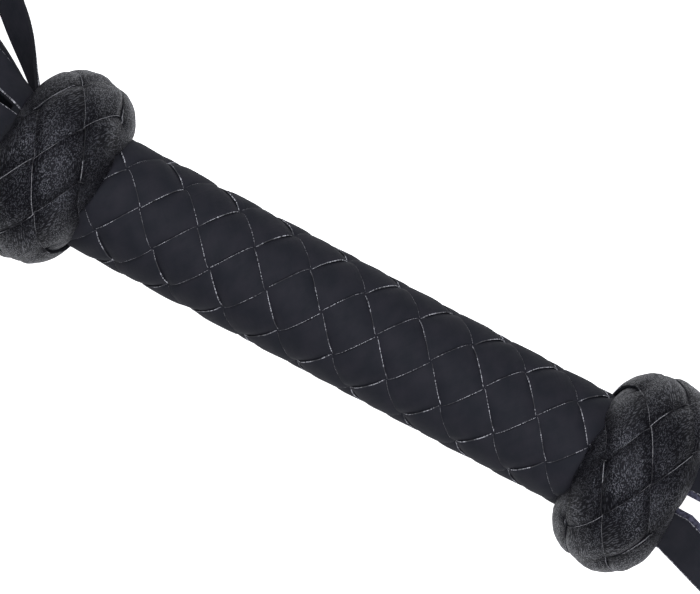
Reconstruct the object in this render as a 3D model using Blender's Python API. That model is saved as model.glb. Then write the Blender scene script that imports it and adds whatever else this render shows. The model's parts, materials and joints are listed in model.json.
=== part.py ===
"""A short hand whip: a plaited handle, a woven knot at each end, loose falls and a wrist loop.

The pieces are made with the handle's axis on the X axis and its middle at the origin. The falls leave
the front end, towards -X, and the wrist loop leaves the rear end, towards +X. The whip lies as on a
table, whose top is TABLE_DEPTH under the axis. Last, one empty moves the whole whip so that the origin
is on the loop's inner face, where the whip hangs. Lengths are in millimetres and are turned into metres
where a mesh is made.
"""

import math

import bmesh
import bpy
from mathutils import Matrix, Vector

MM = 0.001

# Driving dimensions of the handle
HANDLE_RADIUS = 15.0
HANDLE_HALF_VISIBLE = 64.7
KNOT_LENGTH = 29.3
KNOT_RADIUS = 25.05
TABLE_DEPTH = KNOT_RADIUS
CLEARANCE = 0.3
RING_SEGMENTS = 24

# Core
CORE_RADIUS = 9.0
CORE_END = 92.0
SLEEVE_RADIUS = 11.2
SLEEVE_END = 72.0

# Plaited cover: five straps wind each way, over one and under one
STRAPS_EACH_WAY = 5
PLAIT_PITCH = 71.25
PLAIT_CENTRE_X = -5.065
PLAIT_TURN_DEG = -43.5
PLAIT_DRIFT_DEG = 0.0041
PLAIT_DRIFT_CENTRE = 42.0
PLAIT_END = 71.0
STRAP_THICKNESS = 0.9
STRAP_LIFT = 1.1
STRAP_HALF_WIDTH = 0.44
FLAT_SHARE = 0.40
PLAIT_RADIUS = HANDLE_RADIUS - STRAP_LIFT - STRAP_THICKNESS / 2
CELL_DEG = 180 / STRAPS_EACH_WAY
CELL_X = PLAIT_PITCH / (2 * STRAPS_EACH_WAY)

# Thread whippings over the ends of the cover
WHIPPING_SPAN = (69.6, 72.6)
WHIPPING_RADII = (15.4, 16.0)

# Woven knots: one closed strip, five leads by six bights
LEADS = 5
BIGHTS = 6
KNOT_THICKNESS = 1.3
KNOT_LIFT = 1.2
KNOT_HALF_WIDTH = 0.42
KNOT_CENTRE_X = HANDLE_HALF_VISIBLE + 14.5
KNOT_HALF_LENGTH = 14.2
KNOT_BASE_RADIUS = 11.2
KNOT_RISE = KNOT_RADIUS - KNOT_BASE_RADIUS - KNOT_LIFT - KNOT_THICKNESS / 2
KNOT_MIDDLE_DEG = 92.0
KNOT_CELL_DEG = 25.0
BIGHT_ROUNDING = 0.25

# Foundation rings under the knots
FOUNDATION_DEPTH = 2.75
FOUNDATION_SPAN_DEG = (40.0, 140.0)
FOUNDATION_STEPS = 6
FOUNDATION_BORES = (16.4, 14.8)
FOUNDATION_STEP_X = 75.3

# Front end: the falls' shoulder is rolled round a bolster, bound with thread and tacked
BOLSTER_START = 75.0
FRONT_BOLSTER_RADIUS = 12.1
REAR_BOLSTER_RADIUS = 14.4
REAR_BOLSTER_END = 91.0
SHOULDER_SPAN = (75.5, 93.3)
SHOULDER_RADII = (12.45, 13.55)
BINDING_SPAN = (79.0, 86.0)
BINDING_RADII = (13.85, 14.4)
TACK_X = 89.5
TACK_ANGLES = (90, 210, 330)
TACK_SHANK_RADIUS = 0.8
TACK_HEAD_RADIUS = 1.7
TACK_FOOT = 4.0
TACK_HEAD_SPAN = (13.85, 14.4)

# Falls: eight flat straps, each bending where it leaves the mouth of the front knot
FALL_ROOT_X = 94.2
FALL_WIDTH = 9.4
FALL_ROOT_WIDTH = 9.0
FALL_WIDEN_LENGTH = 35.0
FALL_THICKNESS = 1.1
FALL_RING_RADIUS = sum(SHOULDER_RADII) / 2
FALL_DROOP_START = 6.0
FALL_DROOP_LENGTH = 95.0
FALL_FLATTEN_LENGTH = 32.0
FALL_TURN_LENGTH = 4.0
FALL_FLARE_LENGTH = 25.0
FALL_FLARE_SHARE = 0.15
FALL_RELAX_LENGTH = 220.0
FALL_RELAX_SHARE = 0.45
FALL_STATIONS = 18
# Each fall's place round the mouth from +Y towards +Z, its heading from -X towards +Y, and its length
FALLS = (
    (-12.0, 40.0, 286.0),
    (-57.0, 26.0, 298.0),
    (33.0, 15.0, 304.0),
    (78.0, 5.0, 292.0),
    (-102.0, -7.0, 300.0),
    (123.0, -16.0, 296.0),
    (-147.0, -27.0, 290.0),
    (168.0, -38.0, 302.0),
)

# Wrist loop: two straps face to face, pinned in a slot in the rear end of the core
LOOP_ROOT_X = 95.2
LOOP_REACH = 150.0
LOOP_BULGE = 25.0
LEG_OFFSET = 8.0
LOOP_WIDTH = 10.0
LOOP_PLY = 1.2
LOOP_PLY_GAP = 0.5
LOOP_STATIONS = 46
LOOP_TWIST_END = 0.32
SLOT_START = 60.0
SLOT_HALF_HEIGHT = 1.6
ANCHOR_SPAN = (62.0, 92.8)
ANCHOR_Y_SPAN = (1.4, 8.4)
ANCHOR_HALF_HEIGHT = 1.3
PIN_X = 80.0
PIN_Y = 5.0
PIN_RADIUS = 1.2
PIN_HALF_LENGTH = 6.0

# Colours are linear RGB
STRAP_BLACK = (0.020, 0.021, 0.025)
KNOT_BLACK = (0.016, 0.015, 0.018)
LINING_BLACK = (0.028, 0.026, 0.027)
THREAD_BLACK = (0.030, 0.030, 0.032)
WOOD_TAN = (0.42, 0.27, 0.14)
FELT_GREY = (0.20, 0.20, 0.19)
STEEL_GREY = (0.52, 0.53, 0.55)


def clear_scene():
    for item in list(bpy.data.objects):
        bpy.data.objects.remove(item, do_unlink=True)


def material(name, colour, roughness, metallic=0.0):
    made = bpy.data.materials.new(name)
    made.use_nodes = True
    shader = made.node_tree.nodes["Principled BSDF"]
    shader.inputs["Base Color"].default_value = (*colour, 1.0)
    shader.inputs["Roughness"].default_value = roughness
    shader.inputs["Metallic"].default_value = metallic
    return made


def finish_object(name, mesh_editor, look):
    """Turn a bmesh in millimetres into an object in metres, with its faces pointing out."""
    bmesh.ops.scale(mesh_editor, vec=(MM, MM, MM), verts=mesh_editor.verts)
    bmesh.ops.recalc_face_normals(mesh_editor, faces=mesh_editor.faces)
    mesh = bpy.data.meshes.new(name)
    mesh_editor.to_mesh(mesh)
    mesh_editor.free()
    mesh.shade_smooth()
    mesh.set_sharp_from_angle(angle=math.radians(35))
    mesh.materials.append(look)
    made = bpy.data.objects.new(name, mesh)
    bpy.context.scene.collection.objects.link(made)
    return made


def smooth_step(share):
    held = min(max(share, 0.0), 1.0)
    return held * held * (3 - 2 * held)


def strip(name, sections, closed, look):
    """Join loops of points, one after another, into one solid strip, capped unless it closes on itself."""
    editor = bmesh.new()
    rings = [[editor.verts.new(point) for point in section] for section in sections]
    pairs = list(zip(rings, rings[1:]))
    if closed:
        pairs.append((rings[-1], rings[0]))
    for ring, following in pairs:
        for index in range(len(ring)):
            after = (index + 1) % len(ring)
            editor.faces.new((ring[index], ring[after], following[after], following[index]))
    if not closed:
        cap_section(editor, rings[0])
        cap_section(editor, rings[-1])
    return finish_object(name, editor, look)


def cap_section(editor, ring):
    """Close a strip's end with one four-sided face between each pair of columns."""
    last = len(ring) - 1
    for index in range(len(ring) // 2 - 1):
        editor.faces.new((ring[index], ring[index + 1], ring[last - index - 1], ring[last - index]))


def turned(name, profile, look, closed=True, segments=RING_SEGMENTS):
    """Spin an outline of (x, radius) points round the X axis. An open one starts and ends on the axis."""
    editor = bmesh.new()
    corners = [editor.verts.new((x, 0.0, radius)) for x, radius in profile]
    following = corners[1:] + corners[:1] if closed else corners[1:]
    outline = [editor.edges.new(pair) for pair in zip(corners, following)]
    bmesh.ops.spin(
        editor,
        geom=corners + outline,
        cent=(0, 0, 0),
        axis=(1, 0, 0),
        angle=math.tau,
        steps=segments,
        use_merge=True,
    )
    bmesh.ops.remove_doubles(editor, verts=editor.verts, dist=0.0001)
    return finish_object(name, editor, look)


def ring(name, start, end, inner, outer, look):
    return turned(name, [(start, inner), (start, outer), (end, outer), (end, inner)], look)


def add_rod(editor, start, end, radius, segments):
    """Add a capped cylinder from the point start to the point end."""
    line = end - start
    turn = Vector((0, 0, 1)).rotation_difference(line).to_matrix().to_4x4()
    place = Matrix.Translation((start + end) / 2) @ turn
    bmesh.ops.create_cone(
        editor,
        cap_ends=True,
        segments=segments,
        radius1=radius,
        radius2=radius,
        depth=line.length,
        matrix=place,
    )


def add_box(editor, low, high):
    size = [top - bottom for bottom, top in zip(low, high)]
    middle = [(top + bottom) / 2 for bottom, top in zip(low, high)]
    place = Matrix.Translation(middle) @ Matrix.Diagonal((*size, 1.0))
    bmesh.ops.create_cube(editor, size=1.0, matrix=place)


def cutter(name, editor):
    made = finish_object(name, editor, LOOKS["guide"])
    made.hide_render = True
    made.display_type = "WIRE"
    return made


def cut(target, tool):
    step = target.modifiers.new(tool.name, "BOOLEAN")
    step.operation = "DIFFERENCE"
    step.solver = "EXACT"
    step.object = tool


def weave_height(cells):
    """Height of a strap along its run: +1 over each even crossing, -1 under each odd one."""
    away = abs((cells + 1) % 2 - 1)
    return min(max((0.5 - away) / (0.5 - FLAT_SHARE), -1.0), 1.0)


def plait_turn(x):
    """The plait's slow creep round the handle, in degrees."""
    return PLAIT_TURN_DEG + PLAIT_DRIFT_DEG * (x - PLAIT_DRIFT_CENTRE) ** 2


def plait_point(right, left, radius):
    """A point of the cover: right is steady along a right-hand strap, and left along a left-hand one."""
    x = PLAIT_CENTRE_X + CELL_X * (left - right)
    angle = math.radians(CELL_DEG * (left + right) + plait_turn(x))
    return (x, -radius * math.sin(angle), radius * math.cos(angle))


def crossing_stations(start, end):
    """Both ends of a strap and both edges of the level stretch at each crossing between them."""
    edges = [
        crossing + side * FLAT_SHARE
        for crossing in range(math.floor(start), math.ceil(end) + 1)
        for side in (-1, 1)
    ]
    return [start] + [edge for edge in edges if start + 0.05 < edge < end - 0.05] + [end]


def plait_strap(name, index, right_handed, look):
    first = index + (-PLAIT_END - PLAIT_CENTRE_X) / CELL_X
    last = index + (PLAIT_END - PLAIT_CENTRE_X) / CELL_X
    if not right_handed:
        first, last = 2 * index - last, 2 * index - first
    sections = []
    for along in crossing_stations(first, last):
        height = weave_height(along + index) if right_handed else -weave_height(along + index)
        middle = PLAIT_RADIUS + STRAP_LIFT * height
        outer, inner = middle + STRAP_THICKNESS / 2, middle - STRAP_THICKNESS / 2
        places = [(across, outer) for across in (-1, 0, 1)] + [(across, inner) for across in (1, 0, -1)]
        section = []
        for across, radius in places:
            own = index + across * STRAP_HALF_WIDTH
            pair = (own, along) if right_handed else (along, own)
            section.append(plait_point(*pair, radius))
        sections.append(section)
    return strip(name, sections, False, look)


def knot_profile(angle_deg, height):
    """A point (x, radius) at the given height over the middle surface of the rear knot."""
    angle = math.radians(angle_deg)
    x = KNOT_CENTRE_X - KNOT_HALF_LENGTH * math.cos(angle)
    radius = KNOT_BASE_RADIUS + KNOT_RISE * math.sin(angle)
    normal = Vector((-KNOT_RISE * math.cos(angle), KNOT_HALF_LENGTH * math.sin(angle))).normalized()
    return x + height * normal.x, radius + height * normal.y


def knot_point(lead, turn_cells, height):
    """A point of the knot: lead counts cells from rim to rim, turn_cells counts half bights round it."""
    x, radius = knot_profile(KNOT_MIDDLE_DEG + KNOT_CELL_DEG * (lead - LEADS / 2), height)
    angle = math.pi / BIGHTS * turn_cells
    return (x, -radius * math.sin(angle), radius * math.cos(angle))


def knot_run(cells):
    """Lead, lean of the cross-section and height of the knot's strip after so many cells."""
    phase = cells % (2 * LEADS)
    rising = phase < LEADS
    lead = phase if rising else 2 * LEADS - phase
    lean = -1.0 if rising else 1.0
    past_bight = (cells + LEADS / 2) % LEADS - LEADS / 2
    if abs(past_bight) < 0.5:
        at_start = lead < LEADS / 2
        rounded = past_bight**2 + BIGHT_ROUNDING
        lead = rounded if at_start else LEADS - rounded
        lean = -2 * past_bight if at_start else 2 * past_bight
    if abs(past_bight) < 1 - FLAT_SHARE:
        height = past_bight / (1 - FLAT_SHARE)
    else:
        height = weave_height(phase + 1 if rising else phase)
    return lead, lean, height * KNOT_LIFT


def knot_stations():
    stations = []
    for cell in range(2 * LEADS * BIGHTS):
        offsets = (-0.35, 0.0, 0.35) if cell % LEADS == 0 else (-FLAT_SHARE, FLAT_SHARE)
        stations += [cell + offset for offset in offsets]
    return stations


def knot_strip(name, look):
    sections = []
    for cells in knot_stations():
        lead, lean, height = knot_run(cells)
        outer, inner = height + KNOT_THICKNESS / 2, height - KNOT_THICKNESS / 2
        places = [(across, outer) for across in (-1, 0, 1)] + [(across, inner) for across in (1, 0, -1)]
        sections.append(
            [
                knot_point(
                    lead + across * KNOT_HALF_WIDTH,
                    cells + across * lean * KNOT_HALF_WIDTH,
                    level,
                )
                for across, level in places
            ]
        )
    return strip(name, sections, True, look)


def knot_foundation(name, look):
    first, last = FOUNDATION_SPAN_DEG
    step = (last - first) / FOUNDATION_STEPS
    outline = [knot_profile(first + step * count, -FOUNDATION_DEPTH) for count in range(FOUNDATION_STEPS + 1)]
    wide, narrow = FOUNDATION_BORES
    inside = [
        (outline[-1][0], narrow),
        (FOUNDATION_STEP_X, narrow),
        (FOUNDATION_STEP_X, wide),
        (outline[0][0], wide),
    ]
    return turned(name, outline + inside, look)


def to_front(piece):
    """Turn a piece made for the rear end to the front end."""
    piece.rotation_euler = (0, 0, math.pi)
    return piece


def build_core():
    editor = bmesh.new()
    add_rod(editor, Vector((-CORE_END, 0, 0)), Vector((CORE_END, 0, 0)), CORE_RADIUS, RING_SEGMENTS)
    core = finish_object("core_rod", editor, LOOKS["wood"])
    sleeve_bore = CORE_RADIUS + CLEARANCE
    ring("padding_sleeve", -SLEEVE_END, SLEEVE_END, sleeve_bore, SLEEVE_RADIUS, LOOKS["felt"])
    return core


def build_cover():
    for index in range(STRAPS_EACH_WAY):
        plait_strap(f"plait_strap_right_{index + 1}", index, True, LOOKS["strap"])
        plait_strap(f"plait_strap_left_{index + 1}", index, False, LOOKS["strap"])
    start, end = WHIPPING_SPAN
    ring("rear_whipping", start, end, *WHIPPING_RADII, LOOKS["thread"])
    ring("front_whipping", -end, -start, *WHIPPING_RADII, LOOKS["thread"])


def build_knots():
    knot_foundation("rear_knot_foundation", LOOKS["felt"])
    knot_strip("rear_knot_strip", LOOKS["knot"])
    to_front(knot_foundation("front_knot_foundation", LOOKS["felt"]))
    to_front(knot_strip("front_knot_strip", LOOKS["knot"]))


def radial(angle_deg, x, radius):
    angle = math.radians(angle_deg)
    return Vector((x, radius * math.cos(angle), radius * math.sin(angle)))


def build_front_end(core):
    bore = CORE_RADIUS + CLEARANCE
    bolster = ring("front_bolster", -CORE_END, -BOLSTER_START, bore, FRONT_BOLSTER_RADIUS, LOOKS["wood"])
    start, end = SHOULDER_SPAN
    shoulder = ring("fall_shoulder", -end, -start, *SHOULDER_RADII, LOOKS["strap"])
    start, end = BINDING_SPAN
    ring("fall_binding", -end, -start, *BINDING_RADII, LOOKS["thread"])
    bores = bmesh.new()
    for number, angle in enumerate(TACK_ANGLES, 1):
        build_tack(f"fall_tack_{number}", angle)
        foot = radial(angle, -TACK_X, TACK_FOOT - CLEARANCE)
        add_rod(bores, foot, radial(angle, -TACK_X, TACK_HEAD_SPAN[1]), TACK_SHANK_RADIUS + CLEARANCE, 12)
    tool = cutter("tack_bores", bores)
    for piece in (core, bolster, shoulder):
        cut(piece, tool)


def build_tack(name, angle):
    """A small nail as a turned outline: its axis is made along X, then set on its radius."""
    low, high = TACK_HEAD_SPAN
    outline = [
        (TACK_FOOT, 0.0),
        (TACK_FOOT + 1.5, TACK_SHANK_RADIUS),
        (low, TACK_SHANK_RADIUS),
        (low, TACK_HEAD_RADIUS),
        (high, TACK_HEAD_RADIUS),
        (high, 0.0),
    ]
    tack = turned(name, outline, LOOKS["steel"], closed=False, segments=8)
    outward = radial(angle, 0.0, 1.0)
    tack.rotation_mode = "QUATERNION"
    tack.rotation_quaternion = Vector((1, 0, 0)).rotation_difference(outward)
    tack.location = (-TACK_X * MM, 0, 0)


def fall_course(angle_deg, heading_deg, length):
    """The fall's middle line, as (distance, point, heading in radians), from the mouth down to the table."""
    place = radial(angle_deg, -FALL_ROOT_X, FALL_RING_RADIUS)
    root_height = place.z
    table_height = -TABLE_DEPTH + FALL_THICKNESS / 2
    course = []
    distance = 0.0
    while distance <= length:
        relax = 1 - FALL_RELAX_SHARE * smooth_step(distance / FALL_RELAX_LENGTH)
        flare = 1 + FALL_FLARE_SHARE * (1 - smooth_step(distance / FALL_FLARE_LENGTH))
        turned_in = smooth_step(distance / FALL_TURN_LENGTH)
        heading = math.radians(heading_deg) * turned_in * flare * relax
        droop = smooth_step((distance - FALL_DROOP_START) / FALL_DROOP_LENGTH)
        place.z = root_height + (table_height - root_height) * droop
        course.append((distance, place.copy(), heading))
        place += Vector((-math.cos(heading), math.sin(heading), 0))
        distance += 1.0
    return course


def fall_section(angle_deg, distance, place, heading, tilt):
    """A cross-section, curved like the rolled shoulder at the mouth and flat further on."""
    angle = math.radians(angle_deg)
    round_mouth = Vector((0, -math.sin(angle), math.cos(angle)))
    level = Vector((-math.sin(heading), -math.cos(heading), 0))
    if round_mouth.y > 0:
        level.negate()
    flatness = smooth_step(distance / FALL_FLATTEN_LENGTH)
    across = round_mouth.lerp(level, flatness).normalized()
    forward = Vector((-math.cos(heading), math.sin(heading), tilt)).normalized()
    across = (across - forward * across.dot(forward)).normalized()
    outward = forward.cross(across)
    bend = (1 - smooth_step(distance / (FALL_FLATTEN_LENGTH / 2))) / FALL_RING_RADIUS
    half = (FALL_ROOT_WIDTH + (FALL_WIDTH - FALL_ROOT_WIDTH) * smooth_step(distance / FALL_WIDEN_LENGTH)) / 2
    section = []
    for level_side, shares in ((0.5, (-1, 0, 1)), (-0.5, (1, 0, -1))):
        for share in shares:
            sag = bend * (share * half) ** 2 / 2
            section.append(place + across * share * half + outward * (level_side * FALL_THICKNESS - sag))
    return section


def build_fall(number, angle_deg, heading_deg, length):
    course = fall_course(angle_deg, heading_deg, length)
    shares = [(station / FALL_STATIONS) ** 1.6 for station in range(FALL_STATIONS + 1)]
    picks = [round(share * (len(course) - 1)) for share in shares]
    sections = []
    for pick in picks:
        distance, place, heading = course[pick]
        before, after = course[max(pick - 1, 0)][1], course[min(pick + 1, len(course) - 1)][1]
        run = math.hypot(after.x - before.x, after.y - before.y)
        tilt = 0.0 if pick == 0 else (after.z - before.z) / run
        sections.append(fall_section(angle_deg, distance, place, heading, tilt))
    return strip(f"fall_{number}", sections, False, LOOKS["strap"])


def hinge_empty(name, place, children):
    """Set an empty on a joint's axis and parent the moving pieces to it without moving them."""
    empty = bpy.data.objects.new(name, None)
    empty.location = place * MM
    bpy.context.scene.collection.objects.link(empty)
    for child in children:
        child.parent = empty
        child.matrix_parent_inverse = Matrix.Translation(place * MM).inverted()


def build_falls():
    for number, (angle, heading, length) in enumerate(FALLS, 1):
        fall = build_fall(number, angle, heading, length)
        hinge_empty(f"fall_{number}_hinge", radial(angle, -FALL_ROOT_X, FALL_RING_RADIUS), [fall])


def build_rear_end(core):
    slot = bmesh.new()
    low = (SLOT_START, -CORE_RADIUS - 1, -SLOT_HALF_HEIGHT)
    high = (CORE_END + 1, CORE_RADIUS + 1, SLOT_HALF_HEIGHT)
    add_box(slot, low, high)
    cut(core, cutter("anchor_slot", slot))
    bore = CORE_RADIUS + CLEARANCE
    ring("rear_bolster", BOLSTER_START, REAR_BOLSTER_END, bore, REAR_BOLSTER_RADIUS, LOOKS["wood"])
    bores = bmesh.new()
    anchors = []
    for side, word in ((-1, "left"), (1, "right")):
        pin = bmesh.new()
        foot = Vector((PIN_X, side * PIN_Y, -PIN_HALF_LENGTH))
        head = Vector((PIN_X, side * PIN_Y, PIN_HALF_LENGTH))
        add_rod(pin, foot, head, PIN_RADIUS, 12)
        finish_object(f"loop_pin_{word}", pin, LOOKS["steel"])
        reach = Vector((0, 0, CORE_RADIUS))
        add_rod(bores, foot - reach, head + reach, PIN_RADIUS + CLEARANCE, 12)
        anchor = bmesh.new()
        inner, outer = sorted((side * ANCHOR_Y_SPAN[0], side * ANCHOR_Y_SPAN[1]))
        start, end = ANCHOR_SPAN
        add_box(anchor, (start, inner, -ANCHOR_HALF_HEIGHT), (end, outer, ANCHOR_HALF_HEIGHT))
        anchors.append(finish_object(f"loop_anchor_{word}", anchor, LOOKS["strap"]))
    tool = cutter("pin_bores", bores)
    for piece in (core, *anchors):
        cut(piece, tool)


def loop_frame(share):
    """The loop's middle line at a share of its run: point, direction across it, outward normal."""
    turn = math.pi * share
    from_root = min(share, 1 - share)
    fall = smooth_step(from_root / LOOP_TWIST_END)
    resting = -TABLE_DEPTH + LOOP_WIDTH / 2 + 0.1
    place = Vector(
        (
            LOOP_ROOT_X + LOOP_REACH * math.sin(turn),
            -LEG_OFFSET * math.cos(turn) - LOOP_BULGE * math.sin(2 * turn),
            resting * fall,
        )
    )
    forward = Vector(
        (
            LOOP_REACH * math.cos(turn),
            LEG_OFFSET * math.sin(turn) - 2 * LOOP_BULGE * math.cos(2 * turn),
            0,
        )
    ).normalized()
    if from_root == 0:
        forward = Vector((1, 0, 0)) if share == 0 else Vector((-1, 0, 0))
    away = Vector((forward.y, -forward.x, 0))
    lean = math.radians(90) * fall
    normal = Vector((0, 0, 1)) * math.cos(lean) + away * math.sin(lean)
    across = forward.cross(normal)
    return place, across, normal


def loop_ply(name, centre, look):
    """One of the loop's two straps, at the given distance outside the loop's middle surface."""
    sections = []
    for station in range(LOOP_STATIONS):
        place, across, normal = loop_frame(station / (LOOP_STATIONS - 1))
        section = []
        for level, shares in ((centre + LOOP_PLY / 2, (-1, 0, 1)), (centre - LOOP_PLY / 2, (1, 0, -1))):
            section += [place + across * share * LOOP_WIDTH / 2 + normal * level for share in shares]
        sections.append(section)
    return strip(name, sections, False, look)


def build_loop():
    offset = (LOOP_PLY + LOOP_PLY_GAP) / 2
    plies = [
        loop_ply("loop_outer_strap", offset, LOOKS["strap"]),
        loop_ply("loop_lining_strap", -offset, LOOKS["lining"]),
    ]
    hinge_empty("loop_hinge", Vector((LOOP_ROOT_X - 0.2, 0, 0)), plies)


def hang_point():
    """The middle of the upper half of the flat facet inside the loop's far end."""
    place, across, normal = loop_frame((LOOP_STATIONS / 2 - 1) / (LOOP_STATIONS - 1))
    inner = place - normal * (LOOP_PLY_GAP / 2 + LOOP_PLY)
    return Vector((inner.x, 0, inner.z + LOOP_WIDTH / 4))


def hang_from_origin():
    frame = bpy.data.objects.new("whip_frame", None)
    for item in list(bpy.data.objects):
        if item.parent is None and item is not frame:
            item.parent = frame
    bpy.context.scene.collection.objects.link(frame)
    frame.location = hang_point() * -MM


LOOKS = {}


def make_looks():
    LOOKS["strap"] = material("strap_leather", STRAP_BLACK, 0.45)
    LOOKS["knot"] = material("knot_leather", KNOT_BLACK, 0.35)
    LOOKS["lining"] = material("lining_leather", LINING_BLACK, 0.60)
    LOOKS["thread"] = material("waxed_thread", THREAD_BLACK, 0.55)
    LOOKS["wood"] = material("core_wood", WOOD_TAN, 0.60)
    LOOKS["felt"] = material("felt_padding", FELT_GREY, 0.90)
    LOOKS["steel"] = material("steel_nail", STEEL_GREY, 0.35, 1.0)
    LOOKS["guide"] = material("guide", (0.8, 0.1, 0.1), 0.5)


def main():
    clear_scene()
    make_looks()
    core = build_core()
    build_cover()
    build_knots()
    build_front_end(core)
    build_falls()
    build_rear_end(core)
    build_loop()
    hang_from_origin()


main()
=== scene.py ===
"""The looks of the plaited hand whip: leather, cut edges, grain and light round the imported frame.

Shapes are worked out in millimetres in the handle's own frame: X along the handle from the falls to
the wrist loop, Z up, and the middle of the handle at zero. to_frame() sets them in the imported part's
frame, in metres.
"""

import functools
import json
import math

import bmesh
import bpy
import numpy as np
from mathutils import Matrix, Vector, noise


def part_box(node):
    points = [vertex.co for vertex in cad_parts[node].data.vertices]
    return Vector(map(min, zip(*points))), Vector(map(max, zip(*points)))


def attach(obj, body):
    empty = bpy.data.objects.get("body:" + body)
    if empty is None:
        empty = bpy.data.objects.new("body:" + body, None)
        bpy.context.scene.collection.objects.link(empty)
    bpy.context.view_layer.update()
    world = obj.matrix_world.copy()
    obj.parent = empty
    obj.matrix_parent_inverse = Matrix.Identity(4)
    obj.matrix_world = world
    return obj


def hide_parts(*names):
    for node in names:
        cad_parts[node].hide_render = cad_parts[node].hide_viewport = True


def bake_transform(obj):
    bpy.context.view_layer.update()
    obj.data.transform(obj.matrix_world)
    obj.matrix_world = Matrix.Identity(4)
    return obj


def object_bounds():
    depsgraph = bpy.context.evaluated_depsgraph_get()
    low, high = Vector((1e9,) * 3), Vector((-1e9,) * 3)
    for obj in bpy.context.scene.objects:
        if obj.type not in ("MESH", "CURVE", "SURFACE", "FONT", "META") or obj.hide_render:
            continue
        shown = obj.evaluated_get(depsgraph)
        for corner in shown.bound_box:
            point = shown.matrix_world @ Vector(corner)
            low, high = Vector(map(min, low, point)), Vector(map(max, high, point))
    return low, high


MM = 0.001
NOISE_SEED_STEP = 17.3

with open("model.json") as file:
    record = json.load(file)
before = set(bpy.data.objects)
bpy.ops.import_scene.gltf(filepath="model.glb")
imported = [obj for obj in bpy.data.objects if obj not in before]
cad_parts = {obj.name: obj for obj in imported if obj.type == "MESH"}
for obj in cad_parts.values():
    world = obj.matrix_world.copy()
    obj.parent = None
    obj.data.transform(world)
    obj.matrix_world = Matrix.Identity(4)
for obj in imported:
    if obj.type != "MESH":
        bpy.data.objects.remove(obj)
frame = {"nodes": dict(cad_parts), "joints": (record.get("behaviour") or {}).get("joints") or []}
cad_bounds = [list(corner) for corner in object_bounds()]

core_low, core_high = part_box("core_rod")
HANDLE = (core_low + core_high) / 2
TABLE_DEPTH = (HANDLE.z - cad_bounds[0][2]) / MM

# Plaited cover: five straps each way, over one and under one
STRAPS_EACH_WAY = 5
CELL_X = 7.125
CELL_DEG = 36.0
PLAIT_CENTRE_X = -5.065
PLAIT_TURN_DEG = -43.5
PLAIT_DRIFT_DEG = 0.0041
PLAIT_DRIFT_CENTRE = 42.0
PLAIT_END = 71.0
PLAIT_RADIUS = 13.87
STRAP_WIDTH = 11.25
STRAP_THICKNESS = 0.95
STRAP_LIFT = 0.82
STRAP_CURL = 0.10
STRAP_SLOPE = 0.30
STRAP_OVERLAP = 1.05
STRAP_BEVEL = 0.14
STRAP_CROWN = 0.32
STRAP_COLUMNS = 11
STRAP_RUN_PER_CELL = 11.0
# Depth and size of unevenness, in millimetres
STRAP_WANDER = (0.10, 9.0)
STRAP_LUMPS = (0.07, 7.0)
PLAIT_ROWS_PER_CELL = 14

# Woven knots: one closed strip, five leads by six bights
LEADS = 5
BIGHTS = 6
KNOT_START_X = 64.7
KNOT_OUTLINE = (
    (0.4, 14.7),
    (2.3, 17.7),
    (5.1, 21.2),
    (9.7, 24.3),
    (15.2, 25.1),
    (21.5, 23.7),
    (24.9, 21.4),
    (27.4, 17.9),
    (28.7, 14.6),
)
KNOT_STRIP_WIDTH = 11.0
KNOT_THICKNESS = 1.35
KNOT_LIFT = 0.7
KNOT_CROWN = 0.62
KNOT_CURL = 0.12
KNOT_SLOPE = 0.24
KNOT_BEVEL = 0.14
KNOT_COLUMNS = 17
KNOT_FILL = 0.985
KNOT_RUN_PER_CELL = 14.3
KNOT_LUMPS = (0.16, 5.0)
KNOT_CREASES = (0.13, 2.2)
KNOT_CREASE_STRETCH = (0.30, 1.5, 1.0)
BIGHT_ROUNDING = 0.25
BIGHT_LIFT_SHARE = 0.45
KNOT_ROWS_PER_CELL = 20
KNOT_RADIUS = 25.0
# For the rear (1) and the front (-1) knot: slide and tilt along the handle, and bulge on the +Y side
KNOT_SETTLE = {1: (0.0, 0.3, 1.0), -1: (-0.8, -1.2, 0.3)}

# Falls and wrist loop
FALL_WIDTH = 9.4
FALL_THICKNESS = 1.1
FALL_BEVEL = 0.22
FALL_CROWN = 0.08
FALL_COLUMNS = 9
FALL_ABOVE_TABLE = 0.1
# Spans are distances from a fall's root, in millimetres
FALL_DROOP_SPAN = (6.0, 101.0)
FALL_FIRST_FLATTEN = (-8.0, 16.0)
FALL_LAST_FLATTEN = (16.0, 60.0)
FALL_FIRST_SHARE = 0.45
FALL_TURN_SPAN = (-9.0, -3.0)
FALL_SOLID_TURN_SPAN = (0.0, 4.0)
FALL_JOIN_SPAN = (35.0, 150.0)
FALL_FLARE_SPAN = (0.0, 25.0)
FALL_FLARE_SHARE = 0.15
FALL_RELAX_SPAN = (0.0, 220.0)
FALL_RELAX_SHARE = 0.45
FALL_NECK_SPAN = (0.0, 35.0)
FALL_NECK_SHARE = 0.05
FALL_TUCK = 11.0
FALL_TUCK_DEPTH = 1.5
# Heading away from the handle's axis in degrees, and length
FALL_HEADINGS = {
    "fall_1": (40.0, 286.0),
    "fall_2": (26.0, 298.0),
    "fall_3": (15.0, 304.0),
    "fall_4": (5.0, 292.0),
    "fall_5": (-7.0, 300.0),
    "fall_6": (-16.0, 296.0),
    "fall_7": (-27.0, 290.0),
    "fall_8": (-38.0, 302.0),
}
LOOP_ROOT_X = 95.2
LOOP_REACH = 150.0
LOOP_BULGE = 25.0
LEG_OFFSET = 8.0
LOOP_WIDTH = 10.0
LOOP_PLY = 1.2
LOOP_PLY_GAP = 0.1
LOOP_BEVEL = 0.22
LOOP_CROWN = 0.06
LOOP_COLUMNS = 9
LOOP_ABOVE_TABLE = 0.2
LOOP_TWIST_END = 0.32
LOOP_TUCK = 5
LOOP_STATIONS = 190
LINING_SLIDE = 1.5

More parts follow.
